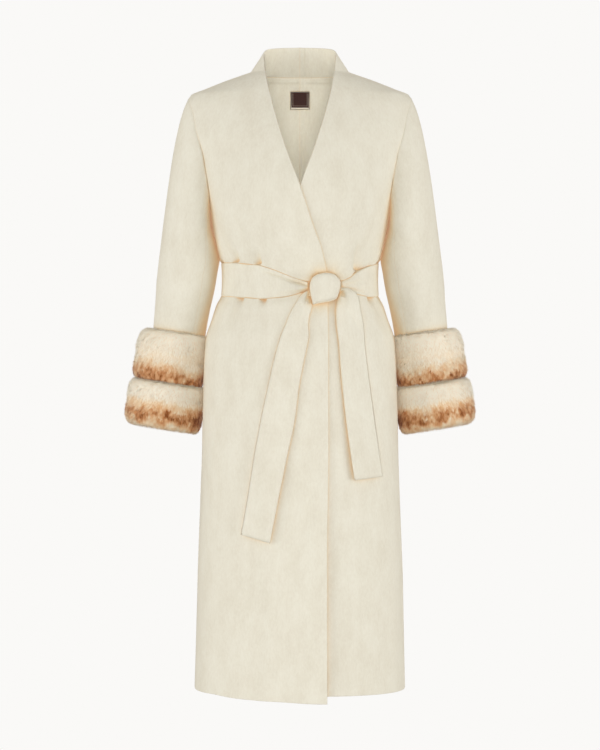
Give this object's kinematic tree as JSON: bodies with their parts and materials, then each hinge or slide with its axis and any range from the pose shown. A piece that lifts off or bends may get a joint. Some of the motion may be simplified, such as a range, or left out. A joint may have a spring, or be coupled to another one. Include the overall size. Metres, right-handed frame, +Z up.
{
  "type": "women's wrap coat with fur cuffs",
  "caption": "Long cream wrap coat with a grown-on stand collar, V front, two-piece sleeves ending in tiered fur cuffs, and a tied sash at the waist.",
  "frame": {"origin": "level with the two neck points, in the middle, where the wearer's shoulders hold the coat", "axes": "+Z up along the coat, -Y towards its front, +X towards the wearer's left"},
  "size_m": [0.6358, 0.277, 1.1676],
  "materials": {
    "wool": "brushed double-faced wool, soft matt nap",
    "fur": "short dense fur, cream to brown",
    "label": "dark woven satin, bare"
  },
  "bodies": {
    "root": {"front_right": "wool", "front_left": "wool", "back_right": "wool", "back_left": "wool", "sleeve_upper_right": "wool", "sleeve_under_right": "wool", "sleeve_upper_left": "wool", "sleeve_under_left": "wool", "fur_upper_right": "fur", "fur_lower_right": "fur", "fur_upper_left": "fur", "fur_lower_left": "fur", "sash_waist": "wool", "sash_knot": "wool", "sash_end_long": "wool", "sash_end_short": "wool", "neck_label": "label"}
  },
  "joints": []
}
